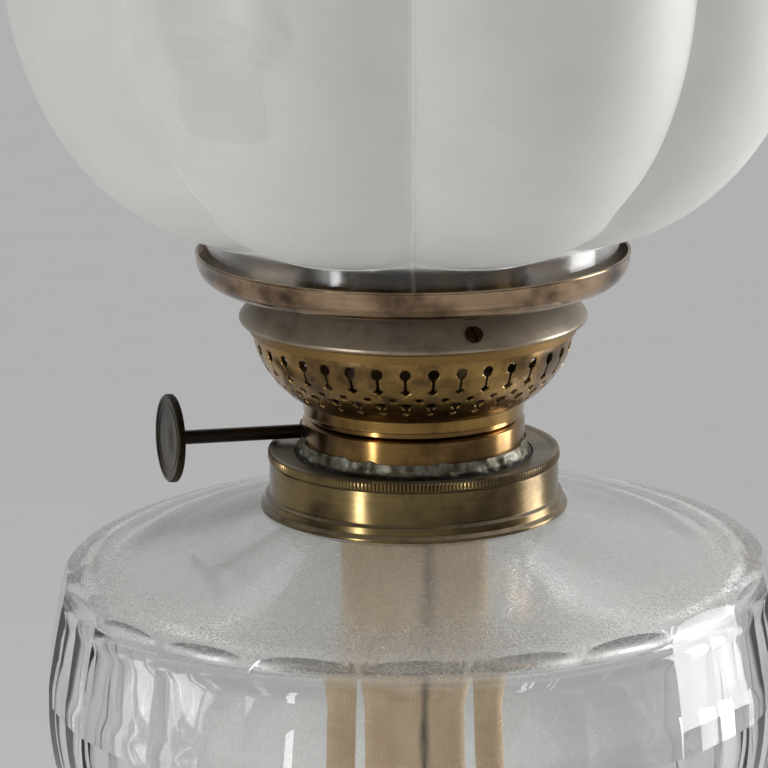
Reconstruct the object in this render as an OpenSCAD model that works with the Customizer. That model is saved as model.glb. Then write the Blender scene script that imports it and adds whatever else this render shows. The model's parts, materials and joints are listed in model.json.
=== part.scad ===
// Kerosene table lamp: spun brass foot, cut glass font, round-wick burner with a
// perforated gallery, lobed glass shade and glass chimney.
// The origin is the centre of the foot on the table, and +Z is up.

/* [Foot and stem] */
// Radius of the foot
foot_r = 84; // [70:1:95]
// Height of the foot's stepped shell
foot_shell_h = 46; // [38:1:60]
// Height of the turned stem between the foot and the font's cup
stem_h = 100; // [80:1:130]
// Height of the stem's lowest turning
stem_base_h = 20; // [16:1:26]
// Height of the stem's top turning
stem_capital_h = 30; // [24:1:36]
// Largest radius of the turned stem
stem_r = 19; // [16:0.5:24]
// Radius of the tie rod
rod_r = 4; // [3:0.1:5]
// Thickness of the felt pad
pad_t = 2; // [1:0.5:4]

/* [Glass font] */
// Radius of the font over its ridges, at the widest
font_r = 89.5; // [80:0.5:110]
// Height of the font's side, from its seat to the rim of its shoulder
font_side_h = 89.2; // [75:0.1:110]
// Rise of the shoulder from the rim to the collar
shoulder_rise = 11.5; // [8:0.1:16]
// Number of flat cuts round the font
font_flats = 21; // [16:1:24]
// Thickness of the font's wall behind its flats
font_wall = 7; // [5:0.1:9]
// Radius of the font's seat in its cup
seat_r = 46; // [38:1:56]

/* [Collar] */
// Radius of the collar's thread, which takes the burner
thread_r = 30; // [25:0.1:36]
// Thickness of the collar outside its thread
collar_wall = 4.5; // [4:0.1:8]
// Height of the collar
collar_h = 11.7; // [10:0.1:15]
// Pitch of the thread
thread_pitch = 2.1; // [1.5:0.1:3]

/* [Burner] */
// Step from the thread in to the burner's drum
drum_step = 3.5; // [3.3:0.1:5]
// Height of the drum above the collar
drum_h = 10; // [9:0.1:13]
// Overhang of the milled rim past the collar
rim_overhang = 0.4; // [0:0.1:3]
// Height of the milled rim
rim_h = 2.15; // [1.8:0.05:2.2]
// Thickness of the sheet brass
sheet = 0.8; // [0.6:0.1:1]

/* [Wick] */
// Mean radius of the round wick
wick_r = 12.1; // [10.5:0.1:12.2]
// Thickness of the wick
wick_t = 1.6; // [1.2:0.1:2]
// Width of the wick's flattened tail
tail_w = 38; // [32:1:44]
// Thickness of the wick's flattened tail
tail_t = 7; // [5:0.5:9]
// Length of the tail below the drum
tail_len = 94; // [60:1:100]

/* [Winder] */
// Radius of the spindle
spindle_r = 1.7; // [1.3:0.05:1.9]
// Direction of the spindle, from the lamp's left towards its front
spindle_turn = 18.8; // [0:0.1:30]
// Rise of the spindle towards its knob, in degrees
spindle_rise = 1.85; // [0:0.05:3]
// Distance along the spindle from the wick to the knob's face
knob_reach = 56.5; // [48:0.5:62]
// Radius of the knob
knob_r = 10.6; // [8:0.1:11.5]
// Thickness of the knob
knob_t = 2; // [1.5:0.1:3]
// Radius of the two toothed wheels that move the wick
wheel_r = 4.3; // [3.6:0.1:4.35]

/* [Gallery] */
// Largest radius of the perforated basket
basket_r = 37.9; // [34:0.1:42]
// Height of the basket's bowl
basket_h = 16.6; // [14:0.1:20]
// Overhang of the deck's edge past the basket
deck_overhang = 2.6; // [2:0.1:5]
// Number of keyhole slots round the basket
slots = 36; // [24:1:40]
// Room between the shade's neck and the rim of the shade ring
ring_room = 2.6; // [2.3:0.1:8]
// Height of the shade ring
ring_h = 8.1; // [7:0.1:12]
// Outer radius of the chimney's base
chimney_r = 26; // [22:0.1:30]
// Number of spring fingers on the chimney holder
fingers = 12; // [8:2:16]

/* [Shade and chimney] */
// Outer radius of the shade's neck
fitter_r = 48.9; // [44:0.1:56]
// Radius of the shade over its lobes
shade_r = 97.5; // [85:0.5:120]
// Height of the shade above its neck
shade_h = 150; // [120:1:185]
// Number of lobes
lobes = 8; // [6:1:12]
// Thickness of the shade's glass
shade_wall = 3; // [2.5:0.1:3.5]
// Height of the chimney
chimney_h = 250; // [205:1:300]
// Thickness of the chimney's glass
chimney_wall = 1.6; // [1.2:0.1:2]

/* [Hidden] */
$fn = 96;

// Gap between pieces that slide or turn on each other, and hairline gap in a fixed joint
slip = 0.3;
hair = 0.05;

// Heights, stacked from the table up
shell_z = 1;
stem_z = foot_shell_h;
base_h = stem_base_h;
capital_h = stem_capital_h;
baluster_h = stem_h - base_h - capital_h;
baluster_z = stem_z + base_h;
capital_z = baluster_z + baluster_h;
cup_z = capital_z + capital_h;
cup_h = 24;
cup_floor = 3;
font_z = cup_z + cup_h;
rim_z = font_z + font_side_h;
shoulder_z = rim_z + shoulder_rise;
collar_top_z = shoulder_z + collar_h;
burner_z = collar_top_z + 0.1;
drum_top_z = burner_z + drum_h;
gallery_z = drum_top_z + 1.7;
bowl_z = gallery_z + 2.8;
bowl_top_z = bowl_z + basket_h;
deck_edge_z = bowl_top_z + 3.5;
ring_z = deck_edge_z + 8;
tube_top_z = ring_z + 1;
holder_z = ring_z - 7;
chimney_z = holder_z + sheet + 0.2;
shade_z = ring_z + 3;
fitter_top_z = ring_z + ring_h + 4.4;

// Collar and thread
collar_r = thread_r + collar_wall;
rim_r = collar_r + rim_overhang;
drum_r = thread_r - drum_step;
neck_r = drum_r - 0.2;
ring_r = fitter_r + ring_room;
collar_flange_r = collar_r + 2.2;
collar_step_r = collar_r + 0.9;
mouth_r = thread_r - 2.5;
glass_neck_r = mouth_r + 3.5;
glass_neck_h = 5;
thread_h = 6.4;
thread_gap = 0.05;
washer_groove = 1;
skirt_t = 1.2;

// Wick and its tubes
tube_wall = 0.4;
wick_in = wick_r - wick_t / 2;
wick_out = wick_r + wick_t / 2;
outer_tube_in = wick_out + slip;
outer_tube_out = outer_tube_in + tube_wall;
inner_tube_out = wick_in - slip;
inner_tube_in = inner_tube_out - tube_wall;
floor_z = burner_z - 2.5;
duct_w = 12;
duct_z0 = floor_z + 2;
duct_z1 = duct_z0 + 7;
raise_max = 8.4;
lower_max = 5.2;
tail_z1 = floor_z - raise_max - slip;
tail_z0 = tail_z1 - 9;

// Spindle: closest to the lamp's axis at offset spindle_d, behind the wick
wheel_x = 4.5;
spindle_d = wheel_r + sqrt((wick_out + slip) * (wick_out + slip) - wheel_x * wheel_x);
spindle_z = burner_z + 3.15;
spindle_inner = 9;
wheel_t = 1;
gland_r = spindle_r + 1.3;
boss_h = 2;

// Chimney holder and the deck that carries it
holder_in = chimney_r + 0.15;
holder_out = holder_in + 0.6;
deck_flat_r = holder_out + 4;
deck_edge_r = basket_r + deck_overhang;
web_in = holder_out + 1;

// Metal and glass colours
brass = [0.55, 0.45, 0.26];
dull_brass = [0.47, 0.43, 0.36];
glass = [0.86, 0.88, 0.88, 0.35];
frosted = [0.86, 0.87, 0.85, 0.8];
iron = [0.2, 0.2, 0.21];
steel = [0.25, 0.23, 0.21];
felt = [0.16, 0.22, 0.17];
plaster = [0.85, 0.83, 0.78];
cotton = [0.68, 0.58, 0.44];
leather = [0.32, 0.21, 0.13];

// ---- Outlines and shells ----

// Points on an arc about (r, z)
function arc(r, z, radius, from, to, steps) =
    [for (i = [0:steps]) let (a = from + (to - from) * i / steps)
        [r + radius * cos(a), z + radius * sin(a)]];

// A point, and points, on a cubic curve with end points p0 and p3
function cubic(p0, p1, p2, p3, t) =
    pow(1 - t, 3) * p0 + 3 * pow(1 - t, 2) * t * p1 + 3 * (1 - t) * t * t * p2 + t * t * t * p3;
function curve(p0, p1, p2, p3, steps) =
    [for (i = [0:steps]) cubic(p0, p1, p2, p3, i / steps)];

function reversed(list) = [for (i = [len(list) - 1:-1:0]) list[i]];
function side_of(a, b) = let (d = (b - a) / norm(b - a)) [d.y, -d.x];

// An outline moved sideways by t, to the right of its direction
function beside(path, t) =
    let (last = len(path) - 1)
    [for (i = [0:last])
        let (n0 = side_of(path[max(i - 1, 0)], path[max(i, 1)]))
        let (n1 = side_of(path[min(i, last - 1)], path[min(i + 1, last)]))
        path[i] + t * (n0 + n1) / (1 + n0 * n1)];

// Closed section of a sheet that follows an outline
function sheet_section(path, t) = concat(path, reversed(beside(path, t)));

module turned(section) {
    rotate_extrude()
        polygon(section);
}

module ring(r_out, r_in, z, h) {
    turned([[r_in, z], [r_out, z], [r_out, z + h], [r_in, z + h]]);
}

module around(count, first = 0) {
    for (i = [0:count - 1])
        rotate([0, 0, first + 360 * i / count])
            children();
}

// ---- Foot and stem ----

module felt_pad() {
    color(felt)
        ring(foot_r - 3, rod_r + 12, 0, pad_t);
}

foot_outline = concat(
    [[foot_r - 1.2, shell_z]],
    arc(foot_r - 2.6, shell_z + 3.6, 2.6, -50, 90, 8),
    [[foot_r - 6, shell_z + 6.4], [foot_r - 7, shell_z + 9.5]],
    curve([foot_r - 9, shell_z + 10.5], [foot_r - 22, shell_z + 12],
        [foot_r - 30, shell_z + 14], [foot_r - 34, shell_z + 20], 8),
    [[foot_r - 36, shell_z + 20.6], [foot_r - 37, shell_z + 23.4]],
    curve([foot_r - 39, shell_z + 24], [foot_r - 48, shell_z + 25],
        [stem_r + 7, foot_shell_h - 13], [stem_r + 2, foot_shell_h - 3], 8),
    [[stem_r, foot_shell_h - 1.2]]
);

module foot_shell() {
    color(brass)
        turned(concat(foot_outline, [[stem_r, foot_shell_h], [rod_r + slip, foot_shell_h]],
            [[rod_r + slip, foot_shell_h - 1.2]],
            reversed(beside(foot_outline, -1.2))));
}

module foot_weight() {
    weight_z = pad_t + hair;
    top_r = foot_r - 42;
    color(iron)
        turned([
            [rod_r + slip, weight_z + 8], [rod_r + 12, weight_z + 8], [rod_r + 12, weight_z],
            [foot_r - 9, weight_z], [foot_r - 9, weight_z + 4],
            [top_r, weight_z + 11], [rod_r + slip, weight_z + 16]
        ]);
}

module rod_washer() {
    color(steel)
        ring(rod_r + 6, rod_r + slip, pad_t + 6.4, 1.6);
}

module hex_nut(across, h) {
    linear_extrude(h)
        difference() {
            circle(d = across / cos(30), $fn = 6);
            circle(r = rod_r + hair);
        }
}

module rod_nut() {
    color(steel)
        translate([0, 0, pad_t + 2.4])
            hex_nut(rod_r * 3.4, 4);
}

module tie_rod() {
    color(steel)
        translate([0, 0, pad_t + 1])
            cylinder(r = rod_r, h = cup_z + cup_floor + 7 - pad_t - 1);
}

stem_bore = rod_r + slip;

module stem_base() {
    mid = stem_z + base_h / 2;
    color(brass)
        turned(concat(
            [[stem_bore, stem_z + hair], [stem_r - 1, stem_z + hair]],
            arc(stem_r - 3, stem_z + 3, 3, -45, 60, 6),
            curve([stem_r - 4, stem_z + 6.5], [stem_r - 8, mid - 2],
                [stem_r - 8, mid + 2], [stem_r - 6, baluster_z - 5], 6),
            arc(stem_r - 5.5, baluster_z - 2.5, 2.2, -60, 80, 6),
            [[stem_r - 6, baluster_z], [stem_bore, baluster_z]]
        ));
}

module stem_baluster() {
    z0 = baluster_z + hair;
    color(brass)
        difference() {
            turned(concat(
                [[stem_bore, z0]],
                curve([stem_r - 7, z0], [stem_r + 5, z0 + baluster_h * 0.25],
                    [stem_r + 1, z0 + baluster_h * 0.55], [stem_r * 0.5, capital_z - 8], 12),
                arc(stem_r * 0.5 + 0.5, capital_z - 5, 2.4, -60, 60, 6),
                [[stem_r * 0.5, capital_z - 2], [stem_r * 0.5, capital_z], [stem_bore, capital_z]]
            ));
            turned([
                [0, z0 + 3], [stem_r - 8, z0 + 8], [stem_r - 6, z0 + baluster_h * 0.25],
                [stem_r - 7, z0 + baluster_h * 0.4], [stem_bore, z0 + baluster_h * 0.62],
                [0, z0 + baluster_h * 0.62]
            ]);
        }
}

module stem_capital() {
    z0 = capital_z + hair;
    color(brass)
        turned(concat(
            [[stem_bore, z0], [stem_r * 0.5 + 1, z0]],
            arc(stem_r * 0.5 + 1, z0 + 3, 2.6, -60, 60, 6),
            curve([stem_r * 0.5 + 0.5, z0 + 6], [stem_r * 0.5 + 1, z0 + capital_h * 0.6],
                [stem_r - 2, z0 + capital_h * 0.6], [stem_r - 1, cup_z - 3.5], 8),
            arc(stem_r - 2, cup_z - 1.9, 1.9, -50, 90, 5),
            [[stem_bore, cup_z]]
        ));
}

// ---- Font and its cup ----

cup_lip_r = seat_r + 9;
cup_outline = concat(
    [[stem_r + 1, cup_z + hair]],
    curve([stem_r + 4, cup_z + 1], [stem_r + 12, cup_z + 2],
        [seat_r - 6, cup_z + 6], [seat_r + 1, cup_z + 15], 8),
    curve([seat_r + 2.5, cup_z + 16.5], [seat_r + 5, cup_z + 19],
        [cup_lip_r, cup_z + 22], [cup_lip_r, cup_z + cup_h + 4], 8)
);

module font_cup() {
    color(brass)
        turned(concat(
            [[stem_bore, cup_z + hair]],
            cup_outline,
            reversed(beside(cup_outline, -1.2)),
            [[stem_bore, cup_z + cup_floor]]
        ));
}

module cup_nut() {
    color(steel)
        translate([0, 0, cup_z + cup_floor])
            hex_nut(rod_r * 3.4, 4);
}

module cup_plaster() {
    nut_room = rod_r * 2.4;
    color(plaster)
        turned(concat(
            [[nut_room, cup_z + cup_floor + hair]],
            [for (p = beside(cup_outline, -1.3)) if (p.y > cup_z + cup_floor && p.y < font_z - hair) p],
            [[seat_r + 2, font_z - hair], [0, font_z - hair], [0, cup_z + cup_floor + 8],
                [nut_room, cup_z + cup_floor + 8]]
        ));
}

// Radius of the font's side over its ridges, from the seat up to the rim
font_low_r = seat_r + 5;
font_waist_z = font_z + font_side_h * 0.62;
function font_side() = concat(
    [[seat_r, font_z], [font_low_r, font_z + 1.5]],
    curve([font_low_r + 1.5, font_z + 5.2], [font_r - 14, font_z + 12],
        [font_r - 1, font_z + 26], [font_r, font_waist_z], 10),
    curve([font_r - 0.15, font_waist_z + 8], [font_r - 1.2, font_waist_z + 14],
        [font_r - 3, rim_z - 9], [font_r - 5.5, rim_z], 6)
);

// Flat cuts: a solid with straight sides between its ridges
module font_cuts() {
    side = font_side();
    rows = len(side);
    turn = 180 / font_flats - 90;
    points = [for (p = side) for (i = [0:font_flats - 1])
        let (a = turn + 360 * i / font_flats) [p.x * cos(a), p.x * sin(a), p.y]];
    faces = concat(
        [[for (i = [0:font_flats - 1]) i]],
        [for (k = [0:rows - 2]) for (i = [0:font_flats - 1])
            let (j = (i + 1) % font_flats, b = k * font_flats)
            [b + i, b + i + font_flats, b + j + font_flats, b + j]],
        [[for (i = [font_flats - 1:-1:0]) (rows - 1) * font_flats + i]]
    );
    polyhedron(points, faces);
}

module font() {
    edge_r = font_r - 8.4;
    inner_r = font_r * cos(180 / font_flats) - font_wall;
    inner_z = font_z + 9;
    slope = shoulder_rise / (edge_r - collar_flange_r);
    neck_top = shoulder_z + glass_neck_h;
    color(glass)
        difference() {
            union() {
                intersection() {
                    font_cuts();
                    turned(concat(
                        [[0, font_z], [font_r + 5, font_z], [font_r + 5, rim_z - 12]],
                        arc(edge_r - 0.9, rim_z - 5.3, 4.9, 12, 76, 8),
                        [[0, rim_z + slope * edge_r]]
                    ));
                }
                turned([
                    [mouth_r, rim_z - 4], [edge_r - 4, rim_z - 4], [edge_r - 4, rim_z + slope * 4],
                    [collar_flange_r, shoulder_z], [glass_neck_r, shoulder_z],
                    [glass_neck_r, neck_top], [mouth_r, neck_top]
                ]);
            }
            turned(concat(
                [[0, inner_z]],
                curve([seat_r - 8, inner_z], [inner_r - 18, inner_z + 2],
                    [inner_r - 2, inner_z + 18], [inner_r, font_waist_z], 8),
                arc(inner_r - 10.5, rim_z - 14, 8, 0, 76, 5),
                [[glass_neck_r + 2, shoulder_z - 5.5], [mouth_r, shoulder_z - 3],
                    [mouth_r, neck_top + 1], [0, neck_top + 1]]
            ));
            turned([[0, shoulder_z + slope], [mouth_r, shoulder_z + slope],
                [mouth_r, neck_top + 1], [0, neck_top + 1]]);
            turned([[glass_neck_r, shoulder_z], [collar_flange_r, shoulder_z],
                [collar_flange_r, neck_top + 9], [glass_neck_r, neck_top + 9]]);
        }
}

module collar_plaster() {
    color(plaster)
        ring(collar_r - 1 - hair, glass_neck_r + hair, shoulder_z + hair, glass_neck_h);
}

module collar() {
    cavity_h = glass_neck_h + 2 * hair;
    groove_r = collar_r - 1.4;
    color(dull_brass)
        turned([
            [collar_r - 1, shoulder_z + hair], [collar_flange_r, shoulder_z + hair],
            [collar_flange_r, shoulder_z + 0.7], [collar_step_r, shoulder_z + 2.4],
            [collar_step_r, shoulder_z + 3.4], [collar_r, shoulder_z + 4.1],
            [collar_r, collar_top_z], [groove_r, collar_top_z],
            [groove_r, collar_top_z - washer_groove], [thread_r, collar_top_z - washer_groove],
            [thread_r, shoulder_z + cavity_h], [collar_r - 1, shoulder_z + cavity_h]
        ]);
}

// ---- Burner ----

module burner_washer() {
    color(leather)
        ring(collar_r - 1.4 - slip, thread_r + slip, collar_top_z - washer_groove + hair,
            washer_groove - 2 * hair);
}

trench_r = drum_r + 2;
trench_z = burner_z + 0.7;

module burner_ring() {
    bore_r = drum_r + hair;
    skirt_z = burner_z - thread_h + 0.4;
    skirt_r = thread_r - thread_gap;
    color(dull_brass)
        turned([
            [bore_r, trench_z - sheet], [skirt_r - skirt_t, trench_z - sheet],
            [skirt_r - skirt_t, skirt_z], [skirt_r, skirt_z], [skirt_r, burner_z],
            [rim_r, burner_z], [rim_r, burner_z + rim_h - 0.3], [rim_r - 0.3, burner_z + rim_h],
            [rim_r - 1.3, burner_z + rim_h], [rim_r - 2.2, burner_z + rim_h - 0.5],
            [trench_r, trench_z + 0.5], [trench_r, trench_z], [bore_r, trench_z]
        ]);
}

spigot_r = neck_r - sheet - slip;
spigot_h = 5.2;

// Places children along the spindle, with their +Z towards the knob
module on_spindle(along) {
    rotate([0, 0, 180 + spindle_turn])
        translate([0, -spindle_d, spindle_z])
            rotate([0, 90 - spindle_rise, 0])
                translate([0, 0, along])
                    children();
}

module burner_drum() {
    drum_in = drum_r - sheet;
    color(brass)
        difference() {
            turned([
                [drum_in, floor_z], [drum_r, floor_z], [drum_r, drum_top_z],
                [spigot_r, drum_top_z + 0.4], [spigot_r, drum_top_z + spigot_h],
                [spigot_r - sheet, drum_top_z + spigot_h], [spigot_r - sheet, drum_top_z - 0.6],
                [drum_in, drum_top_z - 1]
            ]);
            on_spindle(0)
                cylinder(r = gland_r + hair, h = drum_r + 8);
        }
}

module solder_seam() {
    color([0.55, 0.54, 0.5])
        difference() {
            turned([
                [drum_r + hair, trench_z + hair], [trench_r - hair, trench_z + hair],
                [drum_r + 0.9, trench_z + 1], [drum_r + hair, trench_z + 1.6]
            ]);
            on_spindle(0)
                cylinder(r = gland_r + hair, h = drum_r + 8);
        }
}

module drum_floor() {
    color(brass)
        ring(drum_r - sheet - hair, outer_tube_out + hair, floor_z, sheet);
}

// Slots in the outer tube, where the wheels reach the wick
module wheel_windows() {
    for (side = [-1, 1])
        on_spindle(side * wheel_x)
            cylinder(r = wheel_r + slip, h = wheel_t + 2 * slip, center = true);
}

// Front opening through both tubes, where the air comes in
module duct_window(r) {
    translate([-duct_w / 2, -r - 3, duct_z0])
        cube([duct_w, r + 3, duct_z1 - duct_z0]);
}

module outer_wick_tube() {
    color(brass)
        difference() {
            ring(outer_tube_out, outer_tube_in, floor_z, tube_top_z - floor_z);
            wheel_windows();
            duct_window(outer_tube_out);
        }
}

module inner_air_tube() {
    color(brass)
        difference() {
            union() {
                ring(inner_tube_out, inner_tube_in, floor_z, tube_top_z + 0.5 - floor_z);
                translate([0, 0, floor_z])
                    cylinder(r = inner_tube_out, h = sheet);
            }
            duct_window(inner_tube_out);
        }
}

module air_duct() {
    wall = tube_wall;
    color(brass)
        difference() {
            translate([-duct_w / 2 + hair, -outer_tube_out - 2, duct_z0 + hair])
                cube([duct_w - 2 * hair, outer_tube_out + 2, duct_z1 - duct_z0 - 2 * hair]);
            translate([-duct_w / 2 + wall, -outer_tube_out - 3, duct_z0 + wall])
                cube([duct_w - 2 * wall, outer_tube_out + 4, duct_z1 - duct_z0 - 2 * wall]);
            cylinder(r = inner_tube_in - 1, h = tube_top_z);
        }
}

module spindle_gland() {
    reach = sqrt(drum_r * drum_r - spindle_d * spindle_d);
    color(brass)
        difference() {
            on_spindle(reach - 3)
                cylinder(r = gland_r, h = 5);
            on_spindle(reach - 4)
                cylinder(r = spindle_r + hair, h = 7);
        }
}

module spindle_bearing() {
    color(brass)
        difference() {
            on_spindle(-7.5)
                cylinder(r = gland_r, h = 1.2);
            on_spindle(-8)
                cylinder(r = spindle_r + hair, h = 3);
        }
}

// ---- Wick ----

module wick() {
    slit_z = duct_z1 + lower_max + slip + 0.3;
    color(cotton)
        difference() {
            ring(wick_out, wick_in, tail_z1, tube_top_z - 1 - tail_z1);
            translate([-duct_w / 2 - slip, -wick_out - 1, tail_z1 - 1])
                cube([duct_w + 2 * slip, wick_out + 1, slit_z - tail_z1 + 1]);
            translate([-0.1, -wick_out - 1, tail_z1 - 1])
                cube([0.2, wick_out + 1, tube_top_z]);
        }
}

module tail_section(w, t) {
    hull()
        for (side = [-1, 1])
            translate([side * (w - t) / 2, 0, 0])
                cylinder(r = t / 2, h = 0.2, $fn = 24);
}

module wick_tail() {
    color(cotton) {
        hull() {
            translate([0, 0, tail_z1 - 0.2 - hair])
                cylinder(r = wick_out - 0.6, h = 0.2, $fn = 24);
            translate([0, 0, tail_z0])
                tail_section(tail_w, tail_t);
        }
        translate([0, 0, floor_z - tail_len])
            linear_extrude(tail_z0 - floor_z + tail_len)
                square([tail_w - tail_t, tail_t], center = true);
        for (side = [-1, 1])
            translate([side * (tail_w - tail_t) / 2, 0, floor_z - tail_len])
                cylinder(r = tail_t / 2, h = tail_z0 - floor_z + tail_len);
    }
}

// ---- Winder ----

module spindle() {
    color(steel)
        on_spindle(-spindle_inner)
            cylinder(r = spindle_r, h = spindle_inner + knob_reach - knob_t);
}

module spindle_clip() {
    color(steel)
        difference() {
            on_spindle(-spindle_inner)
                cylinder(r = spindle_r + 0.9, h = 0.8);
            on_spindle(-spindle_inner - 1)
                cylinder(r = spindle_r, h = 3);
        }
}

module toothed_wheel() {
    teeth = 12;
    points = [for (i = [0:2 * teeth - 1])
        let (a = 180 * i / teeth, r = i % 2 == 0 ? wheel_r : wheel_r - 0.9)
        [r * cos(a), r * sin(a)]];
    linear_extrude(wheel_t)
        difference() {
            polygon(points);
            circle(r = spindle_r);
        }
}

module wick_wheels() {
    color(brass)
        for (side = [-1, 1])
            on_spindle(side * wheel_x - wheel_t / 2)
                toothed_wheel();
}

module knob_boss() {
    color(steel)
        difference() {
            on_spindle(knob_reach - knob_t - boss_h)
                cylinder(r = spindle_r + 0.7, h = boss_h);
            on_spindle(knob_reach - knob_t - boss_h - 1)
                cylinder(r = spindle_r, h = boss_h + 2);
        }
}

module winder_knob() {
    edge = 0.3;
    color(dull_brass)
        on_spindle(knob_reach - knob_t)
            turned([
                [0, 0], [knob_r - edge, 0], [knob_r, edge], [knob_r, knob_t - edge],
                [knob_r - edge, knob_t], [knob_r - 1, knob_t], [knob_r - 1.5, knob_t - 0.4],
                [0, knob_t - 0.4]
            ]);
}

// ---- Gallery ----

module gallery_neck() {
    color(brass)
        ring(neck_r, neck_r - sheet, gallery_z, 2.8);
}

bowl_outline = curve([neck_r, bowl_z + hair], [neck_r + 4.3, bowl_z + 1.55],
    [basket_r, bowl_z + basket_h * 0.57], [basket_r, bowl_top_z], 8);

first_slot = -2.9;
// A round hole, and a keyhole: a round hole, a narrow slot and a wider foot, through the wall
hole_depth = 12;
module wall_hole(r, z) {
    translate([0, -basket_r - 2, z])
        rotate([-90, 0, 0])
            cylinder(r = r, h = hole_depth);
}

module keyhole(r, z, drop) {
    wall_hole(r, z);
    translate([-0.35, -basket_r - 2, z - drop])
        cube([0.7, hole_depth, drop]);
    translate([0, -basket_r - 2, z - drop])
        rotate([-90, 45, 0])
            translate([-0.7, -0.7, 0])
                cube([1.4, 1.4, hole_depth]);
}

module basket() {
    pitch = 360 / slots;
    color(brass)
        difference() {
            turned(concat(
                bowl_outline,
                [[basket_r, deck_edge_z - 1], [basket_r - sheet, deck_edge_z - 1]],
                reversed(beside(bowl_outline, -sheet))
            ));
            around(slots, first_slot)
                keyhole(1.35, bowl_top_z - 2.2, 4.2);
            around(slots, first_slot + pitch / 2)
                wall_hole(0.8, bowl_z + basket_h * 0.42);
            around(slots, first_slot)
                wall_hole(1.1, bowl_z + basket_h * 0.24);
        }
}

module basket_seat() {
    color(brass)
        difference() {
            ring(neck_r - sheet - hair, outer_tube_out + 4, drum_top_z + spigot_h + hair, sheet);
            around(12)
                translate([0, -neck_r + 5.2, 0])
                    cylinder(r = 1.5, h = tube_top_z);
        }
}

deck_top_z = ring_z - hair - sheet;
deck_run = deck_edge_r - 0.1 - deck_flat_r;
deck_drop = deck_top_z - deck_edge_z - 0.2;
deck_slope = curve([deck_flat_r, deck_top_z],
    [deck_flat_r + deck_run * 0.28, deck_top_z - deck_drop * 0.12],
    [deck_flat_r + deck_run * 0.8, deck_top_z - deck_drop * 0.58],
    [deck_edge_r - 0.1, deck_edge_z + 0.2], 12);
deck_outline = concat(
    [[holder_out + hair, deck_top_z]],
    deck_slope,
    arc(deck_edge_r - 0.2, deck_edge_z, 0.2, 20, -80, 4),
    [[basket_r + hair, deck_edge_z - 0.25], [basket_r + hair, bowl_top_z + 0.1]]
);

// The screws stand square to the deck's slope
screw_r = 2.1;
first_screw = 20.5;
screw_lean = atan2(deck_slope[8].y - deck_slope[10].y, deck_slope[10].x - deck_slope[8].x);
module on_deck() {
    around(3, first_screw)
        translate([0, -deck_slope[9].x, deck_slope[9].y])
            rotate([screw_lean, 0, 0])
                translate([0, 0, sheet])
                    children();
}

module deck() {
    color(dull_brass)
        difference() {
            turned(sheet_section(deck_outline, -sheet));
            on_deck()
                cylinder(r = 1.5, h = 6, center = true);
            around(18)
                translate([0, -holder_out - 2.2, ring_z - 3])
                    cylinder(r = 1.2, h = 4);
        }
}

module deck_screws() {
    color(dull_brass)
        on_deck()
            difference() {
                union() {
                    translate([0, 0, -2.5])
                        cylinder(r = 1.45, h = 2.8);
                    translate([0, 0, hair])
                        cylinder(r = screw_r, h = 0.9);
                }
                translate([-0.35, -3, 0.5])
                    cube([0.7, 6, 2]);
            }
}

ring_outline = concat(
    [[web_in, ring_z + sheet], [ring_r - 9, ring_z + sheet + 0.1]],
    curve([ring_r - 6, ring_z + sheet + 0.4], [ring_r - 2, ring_z + sheet + 1],
        [ring_r - 1.6, ring_z + 4], [ring_r - 1.2, ring_z + 5.4], 6),
    [[ring_r - sheet, ring_z + ring_h]]
);

module shade_ring() {
    color(brass)
        turned(sheet_section(ring_outline, sheet));
}

module chimney_holder() {
    cut_w = 2.2;
    holder_floor_r = holder_out - 2.8;
    color(brass)
        difference() {
            turned([
                [holder_floor_r, holder_z], [holder_out, holder_z], [holder_out, ring_z + 6],
                [holder_out + 0.8, ring_z + 8], [holder_out + 0.2, ring_z + 8],
                [holder_in, ring_z + 6], [holder_in, holder_z + sheet],
                [holder_floor_r, holder_z + sheet]
            ]);
            around(fingers)
                translate([-cut_w / 2, -holder_out - 2, ring_z + 1.6])
                    cube([cut_w, 6, 10]);
        }
}

module holder_rivets() {
    color(brass)
        around(3, 60)
            translate([0, -holder_out - hair, holder_z + 3])
                rotate([90, 0, 0])
                    cylinder(r = 1, h = 0.8);
}

// ---- Chimney ----

module chimney() {
    waist_r = 15;
    pipe_r = 17.5;
    bulge_z = chimney_z + 30;
    outline = concat(
        [[chimney_r, chimney_z], [chimney_r, bulge_z]],
        curve([chimney_r, bulge_z + 4], [chimney_r - 1, bulge_z + 9],
            [waist_r + 1, bulge_z + 9], [waist_r, bulge_z + 16], 8),
        curve([waist_r + 0.6, bulge_z + 24], [pipe_r + 1, bulge_z + 44],
            [pipe_r + 1, bulge_z + 60], [pipe_r, chimney_z + chimney_h], 8)
    );
    color(glass)
        turned(sheet_section(outline, -chimney_wall));
}

// ---- Shade ----

// Depth of the outline between two lobes: 1 on a crest and 0 in a valley
plan_centre = 0.577;
plan_radius = 0.454;
half_lobe = 180 / lobes;
function plan(a) = plan_centre * cos(a)
    + sqrt(plan_radius * plan_radius - pow(plan_centre * sin(a), 2));
function crest(a) = (plan(a) - plan(half_lobe)) / (plan(0) - plan(half_lobe));

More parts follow.
